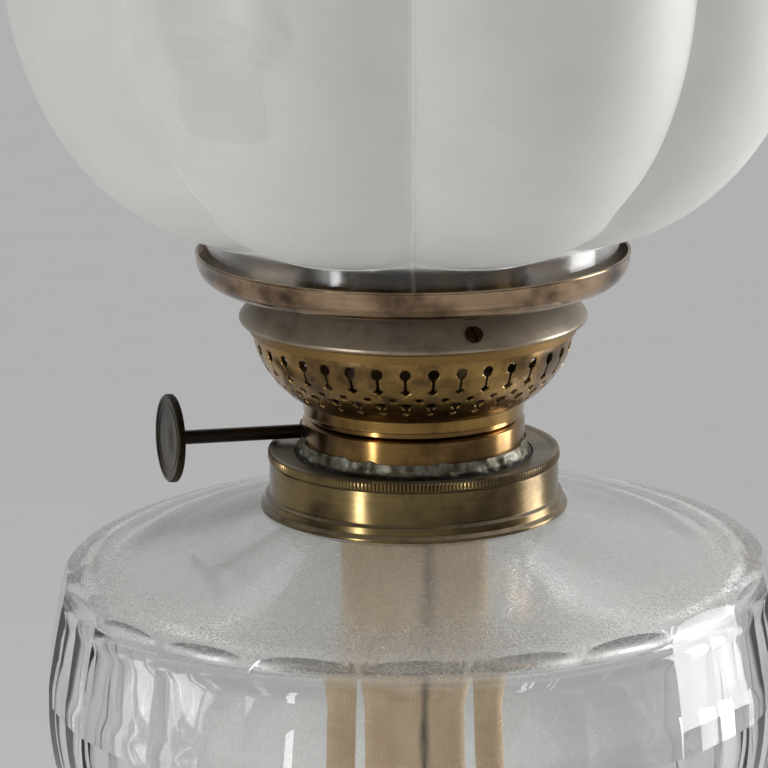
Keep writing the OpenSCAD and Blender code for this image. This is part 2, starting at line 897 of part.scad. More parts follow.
// The shade's outline over a crest, from its neck to its flared top
lower_bend = shade_h * 0.52;
waist_bend = shade_h * 0.87;
function shade_path() = concat(
    curve([fitter_r, fitter_top_z], [fitter_r + (shade_r - fitter_r) * 0.6, fitter_top_z + 6.4],
        [shade_r * 1.015, fitter_top_z + lower_bend * 0.46],
        [shade_r, fitter_top_z + lower_bend], 7),
    curve([shade_r * 0.998, fitter_top_z + lower_bend * 1.12],
        [shade_r * 0.97, fitter_top_z + lower_bend * 1.45],
        [shade_r * 0.62, fitter_top_z + waist_bend * 0.92],
        [shade_r * 0.61, fitter_top_z + waist_bend], 6),
    curve([shade_r * 0.62, fitter_top_z + waist_bend + 4],
        [shade_r * 0.66, fitter_top_z + waist_bend + 8],
        [shade_r * 0.7, fitter_top_z + shade_h - 4],
        [shade_r * 0.78, fitter_top_z + shade_h], 3)
);

valley_lift = 2.8;
lobe_depth = 0.0984;

module shade() {
    steps = lobes * 6;
    outer = concat([[fitter_r, shade_z], [fitter_r, fitter_top_z - 1]], shade_path());
    inner = beside(outer, -shade_wall);
    rows = len(outer);
    function depth(i) = min(1, max(0, (i - 1) / 4)) * lobe_depth;
    function lift(i) = i < 2 ? 0 : valley_lift * max(0, 1 - (i - 2) / 6);
    function loop_at(path, i) =
        [for (k = [0:steps - 1])
            let (a = 360 * k / steps, low = 1 - crest(k % 6 * half_lobe / 3 - half_lobe))
            let (r = path[i].x * (1 - depth(i) * low))
            [r * sin(a), -r * cos(a), path[i].y + lift(i) * low]];
    points = concat(
        [for (i = [0:rows - 1]) for (p = loop_at(outer, i)) p],
        [for (i = [rows - 1:-1:0]) for (p = loop_at(inner, i)) p]
    );
    loops = 2 * rows;
    faces = [for (i = [0:loops - 1]) for (k = [0:steps - 1])
        let (a = i * steps, b = (i + 1) % loops * steps, m = (k + 1) % steps)
        each [[a + k, b + k, b + m], [a + k, b + m, a + m]]];
    color(frosted)
        polyhedron(points, faces);
}

felt_pad();
foot_shell();
foot_weight();
rod_washer();
rod_nut();
tie_rod();
stem_base();
stem_baluster();
stem_capital();
font_cup();
cup_nut();
cup_plaster();
font();
collar_plaster();
collar();
burner_washer();
burner_ring();
burner_drum();
solder_seam();
drum_floor();
outer_wick_tube();
inner_air_tube();
air_duct();
spindle_gland();
spindle_bearing();
wick();
wick_tail();
spindle();
spindle_clip();
wick_wheels();
knob_boss();
winder_knob();
gallery_neck();
basket();
basket_seat();
deck();
deck_screws();
shade_ring();
chimney_holder();
holder_rivets();
chimney();
shade();
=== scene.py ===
import json
import math

import bmesh
import bpy
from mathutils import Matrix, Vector, noise


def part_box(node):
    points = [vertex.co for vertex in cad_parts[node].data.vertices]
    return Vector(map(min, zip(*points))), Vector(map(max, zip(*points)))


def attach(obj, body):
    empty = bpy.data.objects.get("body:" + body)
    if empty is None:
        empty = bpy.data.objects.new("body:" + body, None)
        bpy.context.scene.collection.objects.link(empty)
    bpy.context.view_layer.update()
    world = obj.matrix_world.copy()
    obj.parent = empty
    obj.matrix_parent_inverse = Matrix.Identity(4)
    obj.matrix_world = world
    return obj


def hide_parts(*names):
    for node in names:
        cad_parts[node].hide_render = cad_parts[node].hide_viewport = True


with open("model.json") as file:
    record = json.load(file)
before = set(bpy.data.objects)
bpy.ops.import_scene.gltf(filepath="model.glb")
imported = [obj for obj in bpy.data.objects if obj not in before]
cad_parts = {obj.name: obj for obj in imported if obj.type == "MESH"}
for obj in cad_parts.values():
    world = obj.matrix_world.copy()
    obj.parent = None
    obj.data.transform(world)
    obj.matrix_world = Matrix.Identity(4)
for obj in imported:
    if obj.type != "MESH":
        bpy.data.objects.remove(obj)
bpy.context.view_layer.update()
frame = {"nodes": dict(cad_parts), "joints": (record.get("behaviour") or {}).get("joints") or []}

MM = 0.001
TAU = 2 * math.pi

# Walls, in millimetres
SHEET = 0.8
SPUN_SHEET = 1.2
CHIMNEY_WALL = 1.6
SHADE_WALL = 3.0
CLOTH = 1.4


# ---------------------------------------------------------------- sizes from the frame

class Span:
    """A node's largest radius and its lowest and highest points, in millimetres."""

    def __init__(self, node):
        low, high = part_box(node)
        self.r = high.x / MM
        self.z0 = low.z / MM
        self.z1 = high.z / MM
        self.h = self.z1 - self.z0


foot = Span("foot_shell")
base = Span("stem_base")
baluster = Span("stem_baluster")
capital = Span("stem_capital")
cup = Span("font_cup")
font = Span("font")
collar = Span("collar")
milled = Span("burner_ring")
drum = Span("burner_drum")
neck = Span("gallery_neck")
basket = Span("basket")
deck = Span("deck")
shade_ring = Span("shade_ring")
holder = Span("chimney_holder")
chimney = Span("chimney")
shade = Span("shade")
wick = Span("wick")
wick_tail = Span("wick_tail")


# ---------------------------------------------------------------- outlines

def arc(r, z, radius, start, end, steps):
    """Points on an arc about (r, z), with angles in degrees."""
    turns = [math.radians(start + (end - start) * i / steps) for i in range(steps + 1)]
    return [(r + radius * math.cos(a), z + radius * math.sin(a)) for a in turns]


def curve(p0, p1, p2, p3, steps):
    """Points on a cubic curve."""
    points = []
    for i in range(steps + 1):
        t = i / steps
        weights = ((1 - t) ** 3, 3 * (1 - t) ** 2 * t, 3 * (1 - t) * t * t, t ** 3)
        points.append(tuple(sum(w * p[k] for w, p in zip(weights, (p0, p1, p2, p3))) for k in (0, 1)))
    return points


def beside(path, t):
    """The outline moved sideways by t, to the right of its direction."""
    def side(a, b):
        d = Vector(b) - Vector(a)
        d.normalize()
        return Vector((d.y, -d.x))

    last = len(path) - 1
    moved = []
    for i, point in enumerate(path):
        n0 = side(path[max(i - 1, 0)], path[max(i, 1)])
        n1 = side(path[min(i, last - 1)], path[min(i + 1, last)])
        moved.append(tuple(Vector(point) + t * (n0 + n1) / (1 + n0.dot(n1))))
    return moved


def wall(path, t):
    """Closed section of a sheet that follows an outline."""
    return path + beside(path, t)[::-1]


def eased(points, radius, steps=3):
    """A closed outline with each corner rounded, where there is room."""
    result = []
    count = len(points)
    for i in range(count):
        p = Vector(points[i])
        a = Vector(points[i - 1]) - p
        b = Vector(points[(i + 1) % count]) - p
        turn = a.angle(b) if a.length > 1e-6 and b.length > 1e-6 else math.pi
        if p.x < 1e-6 or turn > math.radians(160):
            result.append(tuple(p))
            continue
        cut = min(radius / math.tan(turn / 2), 0.4 * a.length, 0.4 * b.length)
        start, end = p + a.normalized() * cut, p + b.normalized() * cut
        for k in range(steps + 1):
            t = k / steps
            result.append(tuple(start * (1 - t) ** 2 + p * 2 * t * (1 - t) + end * t * t))
    return result


# ---------------------------------------------------------------- pieces

def add_piece(name, bm, body, material, replaces=(), sharp=38):
    """Makes a mesh object in metres from a bmesh in millimetres."""
    bmesh.ops.scale(bm, verts=bm.verts, vec=(MM, MM, MM))
    mesh = bpy.data.meshes.new(name)
    bm.to_mesh(mesh)
    bm.free()
    mesh.polygons.foreach_set("use_smooth", [True] * len(mesh.polygons))
    mesh.set_sharp_from_angle(angle=math.radians(sharp))
    obj = bpy.data.objects.new(name, mesh)
    bpy.context.scene.collection.objects.link(obj)
    mesh.materials.append(material)
    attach(obj, body)
    if replaces:
        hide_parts(*replaces)
    return obj


def lathe(outline, steps=128, closed=True):
    """A bmesh turned from an outline of (radius, height) points."""
    bm = bmesh.new()
    verts = [bm.verts.new((r, 0, z)) for r, z in outline]
    edges = [bm.edges.new(pair) for pair in zip(verts, verts[1:])]
    if closed:
        edges.append(bm.edges.new((verts[-1], verts[0])))
    bmesh.ops.spin(bm, geom=verts + edges, axis=(0, 0, 1), cent=(0, 0, 0),
                   angle=TAU, steps=steps, use_merge=False, use_duplicate=False)
    bmesh.ops.remove_doubles(bm, verts=bm.verts, dist=1e-4)
    bmesh.ops.recalc_face_normals(bm, faces=bm.faces)
    return bm


def polar(co):
    """Radius and azimuth of a point, with azimuth 0 at the lamp's front and positive to its right."""
    return math.hypot(co.x, co.y), math.atan2(co.x, -co.y)


def set_polar(co, r, azimuth):
    co.x = r * math.sin(azimuth)
    co.y = -r * math.cos(azimuth)


# ---------------------------------------------------------------- materials

def linear(code):
    """An sRGB hex colour as the linear RGBA that shaders take."""
    def channel(v):
        return v / 12.92 if v <= 0.04045 else ((v + 0.055) / 1.055) ** 2.4

    return tuple(channel(int(code[i:i + 2], 16) / 255) for i in (1, 3, 5)) + (1.0,)


def node(tree, kind, settings=(), **links):
    """Adds a shader node: settings are (name, value) pairs for its properties, and links its inputs."""
    made = tree.nodes.new(kind)
    for key, value in settings:
        setattr(made, key, value)
    for key, value in links.items():
        socket = made.inputs[int(key[1:])] if key[0] == "i" and key[1:].isdigit() \
            else made.inputs[key.replace("_", " ")]
        if isinstance(value, bpy.types.NodeSocket):
            tree.links.new(value, socket)
        else:
            socket.default_value = value
    return made


def new_material(name):
    material = bpy.data.materials.new(name)
    material.use_nodes = True
    tree = material.node_tree
    tree.nodes.clear()
    out = tree.nodes.new("ShaderNodeOutputMaterial")
    return material, tree, out


def mix_colour(tree, factor, a, b, blend="MIX"):
    made = node(tree, "ShaderNodeMix", [("data_type", "RGBA"), ("blend_type", blend)])
    for socket, value in ((made.inputs[0], factor), (made.inputs[6], a), (made.inputs[7], b)):
        if isinstance(value, bpy.types.NodeSocket):
            tree.links.new(value, socket)
        else:
            socket.default_value = value
    return made.outputs[2]


def ramp(tree, value, low, high, to_low=0.0, to_high=1.0):
    """Maps low..high to to_low..to_high, clamped."""
    made = node(tree, "ShaderNodeMapRange", [("clamp", True)], Value=value)
    made.inputs["From Min"].default_value = low
    made.inputs["From Max"].default_value = high
    made.inputs["To Min"].default_value = to_low
    made.inputs["To Max"].default_value = to_high
    return made.outputs[0]


def maths(tree, operation, a, b=0.5, clamp=False):
    settings = [("operation", operation), ("use_clamp", clamp)]
    return node(tree, "ShaderNodeMath", settings, i0=a, i1=b).outputs[0]


def plus(tree, a, b, clamp=False):
    return maths(tree, "ADD", a, b, clamp)


def less(tree, a, b):
    return maths(tree, "SUBTRACT", a, b)


def times(tree, a, b, clamp=False):
    return maths(tree, "MULTIPLY", a, b, clamp)


def split_axes(tree, vector):
    """The x, y and z of a vector."""
    return node(tree, "ShaderNodeSeparateXYZ", Vector=vector).outputs


def object_place(tree):
    return node(tree, "ShaderNodeTexCoord").outputs["Object"]


def facing_up(tree, low, high):
    """1 on what faces up and 0 on what is steeper than low."""
    normal = node(tree, "ShaderNodeNewGeometry").outputs["Normal"]
    return ramp(tree, split_axes(tree, normal)[2], low, high)


def speckle(tree, vector, size_mm, detail=3.0, roughness=0.55):
    """Noise whose blotches are about size_mm across."""
    return node(tree, "ShaderNodeTexNoise", Vector=vector, Scale=1 / (size_mm * MM),
                Detail=detail, Roughness=roughness).outputs["Fac"]


def turning_marks(tree, position, size_mm):
    """Fine rings round the lamp's axis, as a lathe and polishing cloth leave them."""
    x, y, z = split_axes(tree, position)[:3]
    radius = maths(tree, "SQRT", plus(tree, times(tree, x, x), times(tree, y, y)))
    rings = node(tree, "ShaderNodeCombineXYZ", X=radius, Y=0.0, Z=z)
    drift = node(tree, "ShaderNodeVectorMath", [("operation", "SCALE")], i0=position, Scale=0.02)
    adding = [("operation", "ADD")]
    both = node(tree, "ShaderNodeVectorMath", adding, i0=rings.outputs[0], i1=drift.outputs[0])
    return speckle(tree, both.outputs[0], size_mm, 2.0)


def aged_brass(name, light, middle, dark, rough, dust=0.0, grime=0.5, marks=1.0, below=None):
    """Old lacquered brass: warm metal under soft clouds of brown tarnish, fine turning marks,
    and grey dust that lies on what faces up. below is (height in mm, colour) of a cleaner lower band."""
    material, tree, out = new_material(name)
    place = object_place(tree)
    patches = speckle(tree, place, 16.0, 4.0, 0.55)
    spots = speckle(tree, place, 3.0, 4.0, 0.6)
    rings = turning_marks(tree, place, 0.4)
    tone = mix_colour(tree, ramp(tree, patches, 0.4, 0.62), linear(middle), linear(light))
    cloud = plus(tree, times(tree, patches, 0.7), times(tree, spots, 0.3))
    tone = mix_colour(tree, ramp(tree, cloud, 0.36, 0.52, grime, 0.0), tone, linear(dark))
    tone = mix_colour(tree, ramp(tree, rings, 0.35, 0.65, 0.2 * marks, 0.0), tone, linear(dark))
    up = facing_up(tree, 0.3, 0.85)
    grains = ramp(tree, speckle(tree, place, 0.4, 1.0), 0.64, 0.74, 0.0, 0.5)
    layer = times(tree, up, ramp(tree, spots, 0.3, 0.6, 0.5, 1.0))
    covered = times(tree, plus(tree, layer, times(tree, grains, 0.3)), dust, True)
    tone = mix_colour(tree, covered, tone, linear("#8F887C"))
    if below:
        height = split_axes(tree, place)[2]
        band = ramp(tree, height, (below[0] - 0.2) * MM, (below[0] + 0.2) * MM, 1.0, 0.0)
        tone = mix_colour(tree, band, tone, linear(below[1]))
    shine = plus(tree, ramp(tree, patches, 0.3, 0.7, rough + 0.07, rough - 0.04),
                 times(tree, covered, 0.5), True)
    metal = less(tree, 1.0, times(tree, covered, 0.85))
    relief = node(tree, "ShaderNodeBump", Strength=0.1, Distance=0.00006,
                  Height=plus(tree, times(tree, rings, 0.5 * marks), spots))
    surface = node(tree, "ShaderNodeBsdfPrincipled", Base_Color=tone, Metallic=metal, Roughness=shine,
                   Normal=relief.outputs[0], Coat_Weight=0.2, Coat_Roughness=rough * 0.8)
    tree.links.new(surface.outputs[0], out.inputs[0])
    return material


def lets_lamps_through(tree, surface, share):
    """Lets lamps shine through glass, as its caustics do on the real one."""
    path = node(tree, "ShaderNodeLightPath")
    clear = node(tree, "ShaderNodeBsdfTransparent", Color=(share, share, share, 1.0))
    shadow = path.outputs["Is Shadow Ray"]
    return node(tree, "ShaderNodeMixShader", i0=shadow, i1=surface, i2=clear.outputs[0])


def clear_glass(name, tint, dust=0.0, edge_r=0.0):
    """Polished soda glass. Dust lies on what faces up, and thickens towards the radius edge_r, in mm."""
    material, tree, out = new_material(name)
    place = object_place(tree)
    surface = node(tree, "ShaderNodeBsdfPrincipled", Base_Color=linear(tint), Roughness=0.0, IOR=1.5)
    if dust:
        up = facing_up(tree, 0.35, 0.9)
        x, y, _ = split_axes(tree, place)[:3]
        radius = maths(tree, "SQRT", plus(tree, times(tree, x, x), times(tree, y, y)))
        rim = ramp(tree, radius, (edge_r - 16) * MM, (edge_r - 1) * MM)
        cloud = ramp(tree, speckle(tree, place, 22.0, 8.0, 0.7), 0.3, 0.7, 0.6, 1.1)
        grains = ramp(tree, speckle(tree, place, 0.6, 2.0), 0.4, 0.7, 0.45, 2.0)
        stain = times(tree, ramp(tree, speckle(tree, place, 26.0, 4.0), 0.46, 0.6),
                      ramp(tree, x, 0.0, 0.07, 0.25, 1.0), True)
        heavier = plus(tree, times(tree, rim, 1.1), times(tree, stain, rim))
        weight = times(tree, plus(tree, heavier, 1.0), dust)
        settled = times(tree, times(tree, up, cloud), times(tree, grains, weight), True)
        tone = mix_colour(tree, times(tree, stain, rim), linear("#A69F93"), linear("#8C7654"))
        tone = mix_colour(tree, settled, linear(tint), tone)
        tree.links.new(tone, surface.inputs["Base Color"])
        tree.links.new(less(tree, 1.0, settled), surface.inputs["Transmission Weight"])
        tree.links.new(times(tree, settled, 0.8), surface.inputs["Roughness"])
    else:
        surface.inputs["Transmission Weight"].default_value = 1.0
    shown = lets_lamps_through(tree, surface.outputs[0], 0.86)
    tree.links.new(shown.outputs[0], out.inputs[0])
    return material


def etched_glass(name):
    """Moulded glass, etched to a satin white except for its neck and the clear panels on its front lobes.
    Each panel is a rounded field of azimuth (degrees) and height (mm), with etched bars left in it."""
    material, tree, out = new_material(name)
    place = object_place(tree)
    split = node(tree, "ShaderNodeSeparateXYZ", Vector=place)
    turn = maths(tree, "ARCTAN2", split.outputs[0], times(tree, split.outputs[1], -1.0))
    azimuth = times(tree, turn, 180 / math.pi)
    height = less(tree, times(tree, split.outputs[2], 1000.0), shade_ring.z1)
    wobble = times(tree, less(tree, speckle(tree, place, 12.0, 1.0), 0.5), 5.0)

    def field(middle, spread, low, high, lean=0.0, soft=0.22):
        """1 inside an upright rounded panel, whose middle leans by lean degrees a millimetre."""
        centre = plus(tree, middle, times(tree, less(tree, height, low), lean))
        across = maths(tree, "DIVIDE", less(tree, plus(tree, azimuth, wobble), centre), spread)
        tall = maths(tree, "DIVIDE", less(tree, height, (low + high) / 2), (high - low) / 2)
        far = plus(tree, maths(tree, "POWER", maths(tree, "ABSOLUTE", across), 3.0),
                   maths(tree, "POWER", maths(tree, "ABSOLUTE", tall), 4.0))
        return ramp(tree, far, 1 - soft, 1 + soft / 3, 1.0, 0.0)

    def union(a, b):
        return maths(tree, "MAXIMUM", a, b)

    left = union(field(-26.5, 7.5, 39.0, 60.0), field(-26.0, 10.5, 52.0, 104.0))
    right = times(tree, union(field(18.5, 8.0, 41.0, 58.0), field(21.0, 11.5, 52.0, 104.0)), 0.5)
    bars = union(union(field(-28.5, 3.2, 43.6, 46.4), field(-28.0, 3.2, 55.0, 58.2)),
                 union(field(-27.5, 7.5, 62.5, 66.5), field(19.5, 3.0, 45.2, 48.0)))
    panel = times(tree, union(left, right), less(tree, 1.0, times(tree, bars, 0.5)))
    neck_clear = ramp(tree, plus(tree, height, times(tree, wobble, 0.15)), 4.2, 6.4, 1.0, 0.0)
    where = union(times(tree, panel, 0.5), neck_clear)
    seam = ramp(tree, maths(tree, "ABSOLUTE", azimuth), 0.25, 0.6, 1.0, 0.0)
    mottle = speckle(tree, place, 16.0, 4.0, 0.6)
    tone = mix_colour(tree, ramp(tree, mottle, 0.3, 0.7), linear("#EDEEEA"), linear("#F4F5F2"))
    tone = mix_colour(tree, neck_clear, tone, linear("#F6F7F7"))
    tone = mix_colour(tree, times(tree, seam, 0.4), tone, linear("#FBFBF9"))
    relief = node(tree, "ShaderNodeBump", Strength=0.5, Distance=0.0004,
                  Height=plus(tree, times(tree, speckle(tree, place, 3.0, 3.0), 0.12),
                              plus(tree, seam, times(tree, panel, -0.5))))
    surface = node(tree, "ShaderNodeBsdfPrincipled", Base_Color=tone, IOR=1.5,
                   Roughness=ramp(tree, where, 0.0, 1.0, 0.55, 0.12),
                   Transmission_Weight=ramp(tree, where, 0.0, 1.0, 0.38, 1.0),
                   Normal=relief.outputs[0])
    shown = lets_lamps_through(tree, surface.outputs[0], 0.62)
    tree.links.new(shown.outputs[0], out.inputs[0])
    return material


def plain(name, colour, rough, size_mm, metal=0.0, spread=0.25, depth_mm=0.1):
    """A simple finish with its own grain: cast iron, plaster, felt, leather or steel."""
    material, tree, out = new_material(name)
    place = object_place(tree)
    grain = speckle(tree, place, size_mm, 5.0, 0.65)
    base = linear(colour)
    darker = tuple(c * (1 - spread) for c in base[:3]) + (1.0,)
    tone = mix_colour(tree, ramp(tree, grain, 0.3, 0.7), darker, base)
    relief = node(tree, "ShaderNodeBump", Strength=0.4, Distance=depth_mm * MM, Height=grain)
    surface = node(tree, "ShaderNodeBsdfPrincipled", Base_Color=tone, Roughness=rough, Metallic=metal,
                   Normal=relief.outputs[0])
    tree.links.new(surface.outputs[0], out.inputs[0])
    return material


def solder_metal(name, low):
    """Grey tin solder with a pale bloom in patches, and near-black painted shade under its height low, in
    millimetres, where it sits down in the trench.
    """
    material, tree, out = new_material(name)
    place = object_place(tree)
    lumps = speckle(tree, place, 2.6, 4.0, 0.6)
    tone = mix_colour(tree, ramp(tree, lumps, 0.4, 0.58), linear("#4E4636"), linear("#838070"))
    bloom = ramp(tree, speckle(tree, place, 6.0, 5.0, 0.6), 0.5, 0.64)
    tone = mix_colour(tree, times(tree, bloom, 0.8), tone, linear("#A9AA9E"))
    height = split_axes(tree, place)[2]
    # Painted shade: the fillet's foot, down in the ring's trench, is coloured near black.
    tone = mix_colour(tree, ramp(tree, height, low * MM, (low + 0.5) * MM, 1.0, 0.0), tone, linear("#1D1810"))
    relief = node(tree, "ShaderNodeBump", Strength=0.4, Distance=0.0003, Height=lumps)
    surface = node(tree, "ShaderNodeBsdfPrincipled", Base_Color=tone, Metallic=0.6, Roughness=0.4,
                   Normal=relief.outputs[0])
    tree.links.new(surface.outputs[0], out.inputs[0])
    return material


def woven_cotton(name):
    """Flat-woven cotton wick: ribs along it, weft across, and a soiled, frayed edge on each side."""
    material, tree, out = new_material(name)
    place = node(tree, "ShaderNodeUVMap").outputs[0]

    def threads(direction, scale, distortion):
        return node(tree, "ShaderNodeTexWave", [("bands_direction", direction)], Vector=place, Scale=scale,
                    Distortion=distortion, Detail=2.0).outputs["Fac"]

    ribs = threads("X", 26.0, 1.6)
    weft = threads("Y", 60.0, 1.4)
    cloud = node(tree, "ShaderNodeTexNoise", Vector=place, Scale=9.0, Detail=6.0).outputs["Fac"]
    split = node(tree, "ShaderNodeSeparateXYZ", Vector=place)
    edge = maths(tree, "ABSOLUTE", less(tree, split.outputs[0], 0.5))
    soiled = ramp(tree, plus(tree, edge, times(tree, cloud, 0.06)), 0.5, 0.535)
    tone = mix_colour(tree, ramp(tree, cloud, 0.3, 0.7), linear("#D2B48C"), linear("#ECD3B0"))
    tone = mix_colour(tree, times(tree, ribs, 0.22), tone, linear("#A5845F"))
    tone = mix_colour(tree, times(tree, weft, 0.1), tone, linear("#D8C19E"))
    tone = mix_colour(tree, soiled, tone, linear("#4E3E2E"))
    relief = node(tree, "ShaderNodeBump", Strength=0.6, Distance=0.0004, Height=plus(tree, ribs, weft))
    surface = node(tree, "ShaderNodeBsdfPrincipled", Base_Color=tone, Roughness=0.9, Normal=relief.outputs[0])
    surface.inputs["Sheen Weight"].default_value = 0.2
    tree.links.new(surface.outputs[0], out.inputs[0])
    return material


# Spun and stamped brass of the burner, from the brightest to the most tarnished
gold = aged_brass("gold_patina_brass", "#A88549", "#8A6A36", "#3F2E17", 0.18, dust=0.1, grime=0.6)
bowl_metal = aged_brass("sooted_basket_brass", "#B38F54", "#8E6F40", "#33271A", 0.24,
                        dust=0.1, grime=0.8, marks=0.5)
drum_metal = aged_brass("brown_drum_brass", "#957441", "#745831", "#332514", 0.18, grime=0.6)
olive = aged_brass("tarnished_collar_brass", "#8C784E", "#6F5C3C", "#362C1C", 0.2, dust=0.5, grime=0.6)
ring_metal = aged_brass("plum_tinted_ring_brass", "#B4997A", "#8C7257", "#332923", 0.15,
                        dust=0.12, grime=0.75)
dusty = aged_brass("dusty_deck_brass", "#B3A691", "#9C8F7B", "#5E5446", 0.34, dust=0.9, grime=0.4,
                   below=(deck.z0 + 3.0, "#8C6D3E"))
knob_metal = aged_brass("worn_knob_brass", "#453B2B", "#352D20", "#1E1811", 0.34,
                        dust=0.05, grime=0.6, marks=0.3)
foot_metal = aged_brass("spun_foot_brass", "#A98A52", "#866A3D", "#45341D", 0.2, dust=0.2, grime=0.4)
inner_metal = aged_brass("inner_brass", "#7C6842", "#5C4B2E", "#2C2317", 0.4, dust=0.1, grime=0.8)
spindle_metal = plain("browned_steel_spindle", "#3B322A", 0.36, 3.0, metal=0.9, spread=0.5, depth_mm=0.05)
steel_metal = plain("dull_steel", "#77736C", 0.4, 2.0, metal=1.0)
iron_metal = plain("cast_iron_weight", "#2C2C2E", 0.75, 1.5, metal=0.4, depth_mm=0.4)
felt_cloth = plain("wool_felt", "#27382B", 0.95, 0.8, spread=0.4, depth_mm=0.4)
set_plaster = plain("set_plaster", "#CFC9BB", 0.85, 1.5)
oiled_leather = plain("oiled_leather", "#4A3423", 0.6, 0.9)
# The solder's painted shade reaches 1 mm above the seam's foot.
tin_solder = solder_metal("tin_solder", Span("solder_seam").z0 + 1.0)
cotton_cloth = woven_cotton("cotton_wick_weave")
font_glass = clear_glass("cut_font_glass", "#F6F7F6", dust=0.16, edge_r=font.r - 8.4)
chimney_glass = clear_glass("blown_chimney_glass", "#FBFCFC")
shade_glass = etched_glass("etched_shade_glass")

node_finish = {
    "foot_weight": iron_metal, "rod_washer": steel_metal, "rod_nut": steel_metal, "tie_rod": steel_metal,
    "cup_nut": steel_metal, "cup_plaster": set_plaster, "collar_plaster": set_plaster,
    "burner_washer": oiled_leather, "drum_floor": inner_metal, "outer_wick_tube": inner_metal,
    "inner_air_tube": inner_metal, "air_duct": inner_metal, "spindle_gland": inner_metal,
    "spindle_bearing": inner_metal, "spindle": spindle_metal, "spindle_clip": spindle_metal,
    "wick_wheels": inner_metal, "knob_boss": spindle_metal, "basket_seat": inner_metal,
    "chimney_holder": inner_metal, "holder_rivets": inner_metal, "felt_pad": felt_cloth,
    "deck_screws": knob_metal,
}
for name, finish in node_finish.items():
    frame["nodes"][name].data.materials.clear()
    frame["nodes"][name].data.materials.append(finish)


# ---------------------------------------------------------------- camera, light and floor

# The lamp's middle, seen from a little above and through a long lens
camera_data = bpy.data.cameras.new("camera")
camera_data.sensor_width = 36.0
camera_data.lens = 182.8
camera = bpy.data.objects.new("camera", camera_data)
bpy.context.scene.collection.objects.link(camera)
ring_top = shade_ring.z1
camera.location = Vector((-0.198, -902.01, ring_top + 1.8 + 184.05)) * MM
forward = Vector((-0.00735, 0.97173, -0.23599))
roll = math.radians(0.35)
turn = forward.to_track_quat("-Z", "Y").to_euler()
camera.rotation_euler = turn
camera.rotation_euler.rotate_axis("Z", -roll)
bpy.context.scene.camera = camera


def softbox(name, azimuth, rise, distance, size, power, spread=120, middle=0.3):
    """A studio softbox that faces the lamp, at an azimuth from its front, in degrees and metres."""
    data = bpy.data.lights.new(name, "AREA")
    data.shape = "RECTANGLE"
    data.size, data.size_y = size
    data.energy = power
    data.spread = math.radians(spread)
    light = bpy.data.objects.new(name, data)
    light.visible_camera = False
    bpy.context.scene.collection.objects.link(light)
    a, e = math.radians(azimuth), math.radians(rise)
    aim = Vector((0, 0, middle))
    outwards = Vector((math.sin(a) * math.cos(e), -math.cos(a) * math.cos(e), math.sin(e)))
    light.location = aim + distance * outwards
    light.rotation_euler = (aim - light.location).to_track_quat("-Z", "Y").to_euler()
    return light


softbox("right_softbox", 106, 6, 0.9, (0.36, 0.7), 2.4)
softbox("left_strip", -42, 2, 0.8, (0.06, 0.5), 0.6)
sky = bpy.data.lights.new("ceiling", "SUN")
sky.energy = 1.5
sky.angle = math.radians(80)
ceiling = bpy.data.objects.new("ceiling", sky)
ceiling.rotation_euler = (math.radians(-12), math.radians(6), 0)
bpy.context.scene.collection.objects.link(ceiling)

world = bpy.data.worlds.new("studio")
world.use_nodes = True
sky_tree = world.node_tree
backwards = split_axes(sky_tree, node(sky_tree, "ShaderNodeTexCoord").outputs["Generated"])[1]
shade_of_room = maths(sky_tree, "MAXIMUM", ramp(sky_tree, backwards, -0.95, -0.6, 0.3, 0.14),
                      ramp(sky_tree, backwards, -0.1, 0.7, 0.14, 0.5))
background = sky_tree.nodes["Background"]
sky_tree.links.new(node(sky_tree, "ShaderNodeCombineColor", i0=shade_of_room, i1=shade_of_room,
                        i2=shade_of_room).outputs[0], background.inputs[0])
background.inputs[1].default_value = 1.0
bpy.context.scene.world = world
bpy.context.scene.view_settings.view_transform = "Standard"


def studio_floor():
    bm = bmesh.new()
    bmesh.ops.create_grid(bm, x_segments=1, y_segments=1, size=12.0)
    mesh = bpy.data.meshes.new("floor")
    bm.to_mesh(mesh)
    bm.free()
    floor = bpy.data.objects.new("floor", mesh)
    bpy.context.scene.collection.objects.link(floor)
    mesh.materials.append(plain("grey_paper", "#C9C9C9", 0.9, 40.0, spread=0.02, depth_mm=0.01))


studio_floor()


# ---------------------------------------------------------------- foot and stem

def foot_pieces():
    r, z = foot.r, foot.z0
    stem_r = capital.r + 1
    outline = (
        [(r - 1.2, z)] + arc(r - 2.6, z + 3.6, 2.6, -50, 90, 10)
        + [(r - 6, z + 6.4), (r - 7, z + 9.5)]
        + curve((r - 9, z + 10.5), (r - 22, z + 12), (r - 30, z + 14), (r - 34, z + 20), 14)
        + [(r - 36, z + 20.6), (r - 37, z + 23.4)]
        + curve((r - 39, z + 24), (r - 48, z + 25), (stem_r + 7, foot.z1 - 13), (stem_r + 2, foot.z1 - 3), 14)
        + [(stem_r, foot.z1 - 1.2), (stem_r - 0.4, foot.z1), (5, foot.z1)]
    )
    bell = lathe(eased(wall(outline, -SPUN_SHEET), 0.6), 160)
    add_piece("foot_bell", bell, "root", foot_metal, ["foot_shell"])


